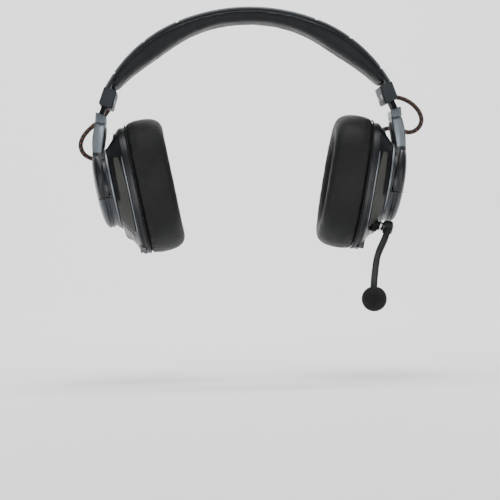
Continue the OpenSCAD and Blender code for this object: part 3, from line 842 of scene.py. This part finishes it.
def make_knuckle(label, side):
    """Block between slider and arm, skewed from the slide's lean to the swivel's."""
    top = level_ring(-5, 4.4, 13.0, 0, 2.0)
    low = level_ring(-4.6, 4.6, 13.5, 0, 2.0)

    def ring(points, place, z, inset):
        return [tuple((place @ Vector((x * (1 - inset / 5), y * (1 - inset / 14), z))) / MM)
                for x, y, _ in points]

    rings = [ring(low, SWIVEL, 0.35, 0.4), ring(low, SWIVEL, 0.8, 0.0), ring(top, SLIDE, -1.6, 0.0),
             ring(top, SLIDE, -0.9, 0.2), ring(top, SLIDE, -0.55, 0.8)]
    shaped(f"knuckle_{label}", loft(rings), ROW, "yoke_metal", side, 40)


ARM_OUTER = [(22.8, 62.8), (25.9, 56), (28.6, 48), (30.4, 39), (31.2, 33.5), (31.2, 18), (31.2, 0.6)]
ARM_INNER = [(14.2, 59.2), (16.2, 51.5), (19.3, 42.5), (20.9, 37), (21.4, 31), (23.6, 20), (24.6, 0.6)]
ARM_STRIP = [(23.2, 34), (19.3, 42.5), (16.2, 51.5), (14.9, 56.5)]
FOOT_RING = 25  # the ring where the metal arm gives way to the glossy foot


def arm_rings():
    """Rounded sections down the arm; the outer face falls away towards its edges."""
    outer = spline([(0, q, r) for r, q in ARM_OUTER], 8)
    inner = spline([(0, q, r) for r, q in ARM_INNER], 8)
    rings = []
    for i, (o, n) in enumerate(zip(outer, inner)):
        inset = {0: 0.5, 1: 0.1}.get(i, 0.0)
        thick = (o - n).length
        ring = []
        for x, t in rounded_rect(ARM_W / 2 - inset, thick / 2 - inset, 2.2, 5, 0, thick / 2):
            fall = 0.9 * max(0.0, (abs(x) - 8.5) / 5) ** 1.5 * (t / thick)
            p = n + (o - n) * ((t - fall) / thick)
            ring.append((x, p.y, p.z))
        rings.append(ring)
    return rings


def make_arm(label, side):
    """Metal arm of the yoke, and its glossy foot inside the disc."""
    rings = arm_rings()
    shaped(f"yoke_arm_{label}", loft(rings[:FOOT_RING + 1]), CUP, "yoke_metal", side, 50)
    foot = add_piece(f"yoke_foot_{label}", *loft(rings[FOOT_RING:]), CUP, "disc_gloss", side, 50)
    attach(foot, f"yoke_{label}_body")


def make_strip(label, side):
    """Dark strip on the inner face of the arm, narrowed at its two ends."""
    line = spline([(0, q, r - 0.05) for r, q in ARM_STRIP], 8)
    rings = []
    for i, p in enumerate(line):
        end = min(i, len(line) - 1 - i)
        half_w = 9.0 - {0: 0.8, 1: 0.2}.get(end, 0)
        rings.append([(x, p.y, p.z + d) for x, d in rounded_rect(half_w, 0.55, 0.4, 3, 0, 0.25)])
    shaped(f"yoke_strip_{label}", loft(rings), CUP, "black_plastic", side, 40)


# Top of the hub from its edge to the axis, as (radius, height)
HUB_TOP = [(HUB_R - 4.6, 31.6), (HUB_R - 9, 32.6), (20, 33.2), (14, 33.7), (8, 34.0), (0.01, 34.2)]


def rim(*points):
    """Profile points of (distance outside the hub's radius, height)."""
    return [(HUB_R + out, z) for out, z in points]


def make_disc(label, side):
    """Glossy upper half of the hub: hollow, slotted for the arm, with a slanting lower edge."""
    edge = rim((-0.3, 22.6), (0.1, 22.9), (0.2, 24.4), (0.2, 25.9), (0.1, 27.2), (-0.2, 28.3),
               (-1.0, 29.5), (-2.5, 30.7))
    disc = turned(f"yoke_disc_{label}_shaped", [(0, 22.6)] + edge + HUB_TOP, "disc_gloss", side)
    slope = [(15, -2.5), (23.3, -2.5), (22.4, 6), (24.3, 22), (27.6, 50), (15, 50)]
    cavity = [(0.01, 20), *rim((-2.4, 20), (-2.4, 28.6)), (24, 28.6), (24, 31.5), (0.01, 31.5)]
    half_slot = 13.7
    hollow = cutter(revolve(cavity, 96), side)
    cut(hollow, between(-FAR, 0, side))
    cut(disc, between(-FAR, -2, side), between(0, FAR, side, half_slot, 5, 31.5),
        between(33.4, FAR, side, half_slot, 5), hollow, cutter(slab(slope, -FAR, FAR), side))
    crease(disc, 28)
    stand_for(disc, f"yoke_disc_{label}")


def make_base(side):
    """Flared ring under the disc, the collar inside it and the two lugs of the tilt axle."""
    edge = rim((1.3, 19.9), (1.3, 20.4), (0.5, 20.8), (-1, 20.8), (-1.1, 21.9), (-2.9, 21.9),
               (-3, 20.8))
    ring = turned("base", [(0.01, 19.9), *edge, (0.01, 20.8)], "drum", side)
    cut(ring, between(-FAR, -3.1, side), between(22, FAR, side, floor=20.81), groove_cutter(side))
    collar = turned("collar", [(0.01, 20.4), (29, 20.4), (29, 23.6), (0.01, 23.6)], "drum", side,
                    128)
    cut(collar, between(-FAR, 1.5, side), between(-FAR, FAR, side, 14.7, 20.85),
        groove_cutter(side))
    outline = [(3.2 * c, 3.2 * s) for c, s in circle(16, math.pi)]
    outline += [(-3.2, 0), (-3.2, -7.2), (3.2, -7.2)]
    lugs = []
    for sx in (-1, 1):
        rings = [[(sx * x, HUB_Q + u, TILT_Z + v) for u, v in outline] for x in (14.6, 21.5)]
        lugs.append(add_piece("lug", *loft(rings), CUP, "drum", side, 40))
    return join([ring, collar, *lugs], "base")


def make_drum(label, side):
    """Lower half of the hub with two lips and a flared foot, and the base under the disc."""
    edge = rim((1.3, 19.9), (1.3, 20.5), (0.4, 21.4), (-0.6, 22.4), (-1.1, 23.6), (-1.1, 24.6),
               (-0.2, 25.0), (-0.2, 26.2), (-0.9, 26.6), (-0.9, 27.2), (-0.1, 27.6), (-0.5, 28.9),
               (-2.2, 30.5))
    drum = turned(f"hub_drum_{label}_shaped", [(0.01, 19.9)] + edge + HUB_TOP, "drum", side)
    cut(drum, between(-3.1, FAR, side))
    soften(drum, 0.35, 3, 40)
    stand_for(join([drum, make_base(side)], f"hub_drum_{label}_shaped"), f"hub_drum_{label}")


# ---------- ear cups ----------

def groove_cutter(side):
    """Room for the yoke arm in the top of the flank."""
    profile = [(20.9, 23), (14, 39), (9.6, 50), (9.6, 60), (40, 60), (40, 23)]
    return cutter(slab(profile, -GROOVE_HALF, GROOVE_HALF), side)


def jack_cutter():
    """Bore of the audio jack, in the underside of the left cup."""
    return cutter(rod((-14, -60, 5.4), (0, 1, 0), 3.3, 20))


def port_cutter(side):
    """Recess of the charging port, in the underside of the right cup."""
    return cutter(box((-20.3, -60, 2.7), (-9.7, -46.5, 7.7)), side)


def control_cutters(side):
    """Openings for the wheels, mute button and boom on one side, the switch and button on the other."""
    if side > 0:
        wheels = [cutter(rod((32.8, q, 7.6), (0, 0, 1), 9.5, 3.8, 96)) for q in (6.5, -13)]
        return wheels + [cutter(rod((28, 24, 9.5), (1, 0, 0), 3.3, 20)),
                         cutter(rod((*BOOM_AT, 11), (0, 0, 1), 5.6, 12)), jack_cutter()]
    return [cutter(box((34, -0.6, 7.6), (50, 9.2, 11.4)), side),
            cutter(rod((28, -14, 9.5), (1, 0, 0), 3.3, 20), side), port_cutter(side)]


def make_shell(label, side):
    """Flank of the cup as a walled shell, with openings for the controls, boom and lead."""
    path = oval_path()
    shares = [0, 0.02, 0.1, 0.25, 0.4, 0.55, 0.7, 0.85, 0.96, 1.0]
    drawn_in = {0: -0.25, 1.0: -0.3}
    outer = [[flank_point(cy, n, s, drawn_in.get(s, 0.0)) for cy, n in path] for s in shares]
    inner = [[flank_point(cy, n, s, -2.2) for cy, n in path] for s in reversed(shares)]
    shell = add_piece(f"cup_shell_{label}_shaped", *loft(outer + inner, loop=True), CUP,
                      "shell_gloss", side, 30)
    cut(shell, groove_cutter(side),
        cutter(rod((34.7, 36.4, 15.4), (-12, -0.6, -3.5), 2.4, 12.5), side),
        *control_cutters(side))
    soften(shell, 0.22, 2, 42)
    stand_for(shell, f"cup_shell_{label}")


def make_groove_floor(label, side):
    """Floor under the yoke arm, and a cheek on each side of it."""
    line = [(19.6, 25.6), (14, 39), (9.6, 50)]
    rings = [[(x, q, r) for r, q in line] + [(x, q - 1.2, r - 1.4) for r, q in reversed(line)]
             for x in (-GROOVE_HALF, -GROOVE_HALF * 0.5, 0, GROOVE_HALF * 0.5, GROOVE_HALF)]
    floor = add_piece(f"groove_floor_{label}", *loft(rings), CUP, "shell_gloss", side, 40)
    cheek = [(20.4, 22.6), (23.4, 22.6), (23.4, 31), (21.8, 36), (17.5, 39.2), (13.4, 39.2)]
    cheeks = [add_piece("cheek", *slab(cheek, *span), CUP, "shell_gloss", side, 30)
              for span in ((-14.6, -13.75), (13.75, 14.6))]
    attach(join([floor, *cheeks], f"groove_floor_{label}"), f"cup_{label}_body")


def front_point(q, share, grow):
    """Point on the front of the flank at a height, lifted off the surface by grow."""
    r, top, z = flank_measures(OVAL_OFF, share)
    low = flank_measures(-OVAL_OFF, share)[1]
    centre = max(low, min(top, q))
    x = -math.sqrt(max(1.0, r * r - (q - centre) ** 2))
    n = Vector((x, q - centre, 0)).normalized()
    slope = Vector((n.x, n.y, (OVAL_HALF - PLATE_R) / (PLATE_Z - CHASSIS_T))).normalized()
    return tuple(Vector((x, q, z)) + slope * grow)


def flank_patch(name, outline, rise, thick, finish, side):
    """Curved trim plate on the flank; outline is a loop of (height, share) on the front."""
    mid = (sum(q for q, _ in outline) / len(outline), sum(s for _, s in outline) / len(outline))
    n, rings_in = len(outline), 9
    levels = [(1.0, rise), (1.0, rise + thick * 0.55), (0.985, rise + thick * 0.9),
              (0.955, rise + thick)]
    levels += [(0.955 * (1 - k / rings_in), rise + thick) for k in range(1, rings_in)]
    verts, faces = [], []
    for scale, grow in levels:
        verts += [front_point(mid[0] + (q - mid[0]) * scale, mid[1] + (s - mid[1]) * scale, grow)
                  for q, s in outline]
    verts.append(front_point(*mid, rise + thick))
    for i in range(len(levels) - 1):
        a, b = i * n, (i + 1) * n
        faces += [(a + k, a + (k + 1) % n, b + (k + 1) % n, b + k) for k in range(n)]
    last = (len(levels) - 1) * n
    faces += [(last + k, last + (k + 1) % n, len(verts) - 1) for k in range(n)]
    faces.append(tuple(reversed(range(n))))
    return add_piece(name, verts, faces, CUP, finish, side, 45)


def smooth_outline(points, steps=6, tension=0.28):
    """Closed loop through corner points with rounded corners."""
    p = [Vector(q) for q in points]
    out = []
    for i, c in enumerate(p):
        a, b = p[i - 1], p[(i + 1) % len(p)]
        start, end = c.lerp(a, tension), c.lerp(b, tension)
        shares = [k / steps for k in range(steps + 1)]
        out += [tuple(start.lerp(c, t).lerp(c.lerp(end, t), t)) for t in shares]
    return out


def make_panel(label, side):
    """Trim of the front flank: matt panel, dark slot, dark window and a bright line of painted highlight."""
    panel = smooth_outline([(28.5, 0.30), (29.0, 0.62), (14, 0.62), (-4, 0.60), (-13, 0.90),
                            (-22, 0.93), (-30, 0.55), (-36, 0.16), (-16, 0.13), (8, 0.14)])
    slot = smooth_outline([(31, 0.70), (31, 0.92), (4, 0.94), (-6, 0.93), (-7.5, 0.74), (6, 0.70)],
                          6, 0.4)
    window = smooth_outline([(-24.5, 0.95), (-37.5, 0.90), (-42.5, 0.36), (-37, 0.30),
                             (-31, 0.60)], 6, 0.3)
    # Painted highlight: a thin bright strip in the plate finish along the flank, by the chassis.
    edge = smooth_outline([(29, 0.06), (8, 0.045), (-16, 0.04), (-34, 0.05), (-38, 0.10),
                           (-34, 0.115), (-16, 0.10), (8, 0.105), (28, 0.13)], 5, 0.35)
    piece = flank_patch(f"side_panel_{label}_shaped", panel, 0.02, 0.8, "panel", side)
    stand_for(piece, f"side_panel_{label}")
    # Raised patches: the dark slot, the dark window, and the edge line, which is a painted highlight.
    for part, outline, thick, finish in (("slot", slot, 0.25, "black_plastic"),
                                         ("window", window, 0.3, "shell_gloss"),
                                         ("edge", edge, 0.35, "plate")):
        patch = flank_patch(f"side_{part}_{label}", outline, 0.0, thick, finish, side)
        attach(patch, f"cup_{label}_body")


def ear_rings(levels, path, lift=1.0):
    """Rings round the oval at levels of (half depth, height)."""
    return [[(half * n[0], cy + lift + half * n[1], z) for cy, n in path] for half, z in levels]


def dress_ear_pad(pad, side):
    """Adds pleats where the cover turns in, slow unevenness and a pressed seam."""
    inverse = CUP.inverted()
    for v in pad.data.vertices:
        p = v.co.copy()
        p.x *= side
        local = inverse @ p
        q = local.y - 1
        centre = max(-OVAL_OFF, min(OVAL_OFF, q))
        radial = Vector((local.x, q - centre, 0))
        half = radial.length
        turn = math.atan2(radial.y, radial.x)
        back = math.exp(-((local.z + 3.0) / 3.2) ** 2) if half > 36 else 0.0
        inner = math.exp(-((half - 26) / 4) ** 2) * min(1.0, max(0.0, (local.z + 32) / 6))
        pleat = 0.16 * math.sin(turn * 46 + 2.2 * math.sin(turn * 7)) * (back + 0.9 * inner)
        round_about = Vector((math.cos(turn) * 2.4, math.sin(turn) * 2.4, local.z * 0.06))
        soft = 0.35 * noise.noise(round_about)
        seam = -0.55 * math.exp(-((local.z + 6.2) / 0.5) ** 2) if half > 36 else 0.0
        local += radial.normalized() * (pleat + soft + seam)
        local.z = min(local.z, -0.25)
        moved = CUP @ local
        v.co = Vector((moved.x * side, moved.y, moved.z))


def make_ear_pad(label, side):
    """Foam ring under leatherette: full outside, rounded face, seam by the chassis."""
    profile = [(44.0, -0.9), (45.6, -2.4), (46.5, -7), (46.8, -13), (46.5, -19), (45.4, -24.5),
               (43.0, -28.8), (39.4, -31.2), (35.2, -32.0), (30.6, -31.4), (26.6, -29.4),
               (24.4, -25.8), (23.8, -20), (23.9, -13), (24.4, -6), (25.4, -1.2), (34, -0.8)]
    pad = add_piece(f"ear_pad_{label}_shaped", *loft(ear_rings(profile, oval_path(24, 6)), loop=True),
                    CUP, "ear_leather", side, 0)
    puff(pad, 4.0, 1.1, 2.6)
    dress_ear_pad(pad, side)
    stand_for(pad, f"ear_pad_{label}")


def make_piping(label, side):
    """Piping in the seam between the ear pad and the chassis."""
    half, up = 44.6, Vector((0, 0, 1))
    line = [Vector((half * n[0], cy + 0.7 + half * n[1], -0.75)) for cy, n in oval_path(48, 12)]
    rings = []
    for i, p in enumerate(line):
        way = (line[(i + 1) % len(line)] - line[i - 1]).normalized()
        out = way.cross(up)
        rings.append([tuple(p + 0.6 * (c * out + s * up)) for c, s in circle(10)])
    piping = add_piece(f"ear_pad_piping_{label}", *loft(rings, loop=True), CUP, "ear_leather",
                       side, 0)
    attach(piping, f"cup_{label}_body")


def make_chassis(label, side):
    """Chassis ring with a parting groove round its side."""
    profile = [(30.2, 4.8), (30.2, 2.3), (40.6, 2.3), (40.9, 0.1), (43.5, 0.05), (43.95, 0.35),
               (44.0, 3.1), (43.7, 3.25), (43.7, 3.45), (44.0, 3.6), (44.0, 4.6), (43.7, 4.88)]
    chassis = add_piece(f"chassis_{label}_shaped",
                        *loft(ear_rings(profile, oval_path(40, 10), 0.0), loop=True), CUP,
                        "chassis", side, 28)
    if side > 0:
        cut(chassis, jack_cutter(), cutter(box((-3.5, -60, 1.4), (4.5, -52.6, 3.6))))
    else:
        cut(chassis, port_cutter(side))
    stand_for(chassis, f"chassis_{label}")


# ---------- microphone ----------

BOOM_ELBOW = Vector((-50, -57, 17.4))
BOOM_BEND = Vector((-75, -82, 15.4))
BOOM_TIP = Vector((-80, -93, 17))


def make_boom_arm():
    """Flat-sided rubber arm from the hinge to the windscreen, with a rounded knuckle."""
    pivot, elbow, bend = Vector((*BOOM_AT, 24.8)), BOOM_ELBOW, BOOM_BEND
    line = even(spline([pivot, pivot.lerp(elbow, 0.35) + Vector((0, 0, 0.9)), elbow,
                        elbow.lerp(bend, 0.5) + Vector((0, 0, -0.5)), bend,
                        bend.lerp(BOOM_TIP, 0.5)], 10), 90)
    round_start = (0.7, 0.9, 0.97)
    rings = []
    for i, (p, (n, b)) in enumerate(zip(line, frames_along(line, (0, 0, 1)))):
        t = i / (len(line) - 1)
        share = round_start[i] if i < len(round_start) else 1.0
        wide, flat = (3.9 - 0.9 * t) * share, (2.7 - 0.1 * t) * share
        rings.append([tuple(p + n * u + b * v) for v, u in rounded_rect(wide, flat, 1.5, 4)])
    arm = add_piece("boom_arm_shaped", *loft(rings), CUP, "black_rubber", 1, 40)
    knuckle = turned("boom_knuckle", [(0.01, 21.0), (5.2, 21.0), (5.6, 21.4), (5.6, 27.4),
                                      (5.0, 28.3), (3.6, 28.6), (3.3, 28.3), (0.01, 28.3)],
                     "black_rubber", 1, 64, BOOM_AT, 35)
    stand_for(join([arm, knuckle], "boom_arm_shaped"), "boom_arm")


def make_windscreen():
    """Foam ball with a rough skin, drawn in where the boom enters it."""
    ball = bmesh.new()
    bmesh.ops.create_icosphere(ball, subdivisions=6, radius=10.2)
    neck = (BOOM_BEND - BOOM_TIP).normalized()
    for v in ball.verts:
        d = v.co.normalized()
        rough = 0.22 * noise.noise(d * 22) + 0.1 * noise.noise(d * 60)
        dent = -2.4 * math.exp(-((1 - d.dot(neck)) / 0.05))
        v.co = BOOM_TIP + d * (10.1 + rough + dent)
    verts = [tuple(v.co) for v in ball.verts]
    faces = [tuple(v.index for v in f.verts) for f in ball.faces]
    ball.free()
    screen = shaped("foam_windscreen", (verts, faces), CUP, "foam", 1, 0)


def make_hinge():
    """Socket of the boom on the cup, with a steel pin and ring."""
    hinge = turned("boom_hinge_shaped", [(0.01, 11.1), (5.4, 11.1), (5.4, 14.6), (5.0, 15.4),
                                         (3.9, 15.9), (3.5, 16.6), (3.5, 20.2), (3.3, 20.6),
                                         (0.01, 20.6)], "black_plastic", 1, 64, BOOM_AT, 35)
    pin = turned("boom_pin", [(0.01, 20.5), (2.45, 20.5), (2.45, 28.9), (1.9, 29.3),
                              (0.01, 29.3)], "steel", 1, 48, BOOM_AT, 35)
    ring = turned("hinge_ring", [(3.4, 17.4), (3.9, 17.4), (4.1, 17.7), (4.1, 18.7),
                                 (3.9, 19.0), (3.4, 19.0)], "steel", 1, 64, BOOM_AT, 35)
    stand_for(hinge, "boom_hinge")
    for extra in (pin, ring):
        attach(extra, "cup_left_body")


# ---------- carried-over nodes, floor and light ----------

def finish_nodes():
    """Every CAD node that still shows gets its material and softened edges."""
    for name, obj in NODES.items():
        obj.data.materials.clear()
        obj.data.materials.append(MATERIALS[SLOT_OF[name]].mat)
        if not obj.hide_render:
            soften(obj, 0.15, 2, 40)


def area(name, size, power, at, target=(0, 0, -0.12)):
    """Rectangular soft light aimed at a point, in metres."""
    data = bpy.data.lights.new(name, "AREA")
    data.shape = "RECTANGLE"
    data.size, data.size_y = size
    data.energy = power
    obj = bpy.data.objects.new(name, data)
    obj.location = at
    obj.rotation_euler = (Vector(target) - Vector(at)).to_track_quat("-Z", "Y").to_euler()
    bpy.context.collection.objects.link(obj)


def make_studio():
    """Pale paper sweep: level under the object, curving up well behind it."""
    mesh = bpy.data.meshes.new("floor")
    ground, curve = -0.30, 1.5
    line = [(-7.0, ground), (-2.0, ground), (curve, ground)]
    line += [(curve + curve * math.sin(a), ground + curve - curve * math.cos(a))
             for a in (math.pi / 2 * k / 24 for k in range(1, 25))] + [(2 * curve, 6.0)]
    verts = [(x, y, z) for y, z in line for x in (-7, 7)]
    faces = [(2 * k, 2 * k + 1, 2 * k + 3, 2 * k + 2) for k in range(len(line) - 1)]
    mesh.from_pydata(verts, [], faces)
    mesh.shade_smooth()
    floor = bpy.data.objects.new("floor", mesh)
    bpy.context.collection.objects.link(floor)
    shader = Shader("floor", (0.86, 0.86, 0.86), 0.7)
    shader.rough(shader.noise(3, 2), 0.65, 0.75)
    mesh.materials.append(shader.mat)
    area("front", (0.5, 0.45), 9, (0.05, -1.8, -0.08), (0, 0, -0.13))
    area("key_left", (0.5, 0.9), 6, (-0.75, -1.25, 0.5))
    area("key_right", (0.5, 0.9), 5, (0.8, -1.25, 0.35))
    area("strip_left", (0.12, 0.9), 5, (-1.0, -0.55, -0.1))
    area("strip_right", (0.12, 0.9), 5, (1.0, -0.55, -0.1))
    area("top", (1.0, 0.8), 9, (0, 0.25, 1.2))
    area("sweep_wash", (3.0, 0.8), 130, (0, 1.2, 2.4), (0, 2.9, 0.0))
    area("floor_wash", (1.6, 1.2), 22, (0, -0.2, 1.7), (0, 0.4, -0.3))


def make_world():
    """Pale behind the object and dimmer all round, as in a small photo studio."""
    world = bpy.data.worlds.new("studio")
    bpy.context.scene.world = world
    world.use_nodes = True
    tree = world.node_tree
    background = tree.nodes["Background"]
    background.inputs["Strength"].default_value = 1.0
    coords = tree.nodes.new("ShaderNodeTexCoord")
    split = tree.nodes.new("ShaderNodeSeparateXYZ")
    ramp = tree.nodes.new("ShaderNodeValToRGB")
    ramp.color_ramp.elements[0].position = 0.82
    ramp.color_ramp.elements[0].color = (0.16, 0.165, 0.175, 1)
    ramp.color_ramp.elements[1].position = 0.975
    ramp.color_ramp.elements[1].color = (1.0, 1.0, 1.0, 1)
    tree.links.new(coords.outputs["Generated"], split.inputs[0])
    tree.links.new(split.outputs["Y"], ramp.inputs["Fac"])
    tree.links.new(ramp.outputs["Color"], background.inputs["Color"])


make_camera()
make_leads()
make_band()
make_headband_pad()
sleeves = []
for LABEL, SIDE in SIDES.items():
    make_end_cap(LABEL, SIDE)
    sleeves.append(make_sleeve(LABEL, SIDE))
    for make_part in (make_knuckle, make_arm, make_strip, make_disc, make_drum, make_shell,
                      make_groove_floor, make_panel, make_chassis, make_ear_pad, make_piping):
        make_part(LABEL, SIDE)
stand_for(join(sleeves, "lead_sleeves_shaped"), "lead_sleeves")
make_boom_arm()
make_windscreen()
make_hinge()
finish_nodes()
make_studio()
make_world()
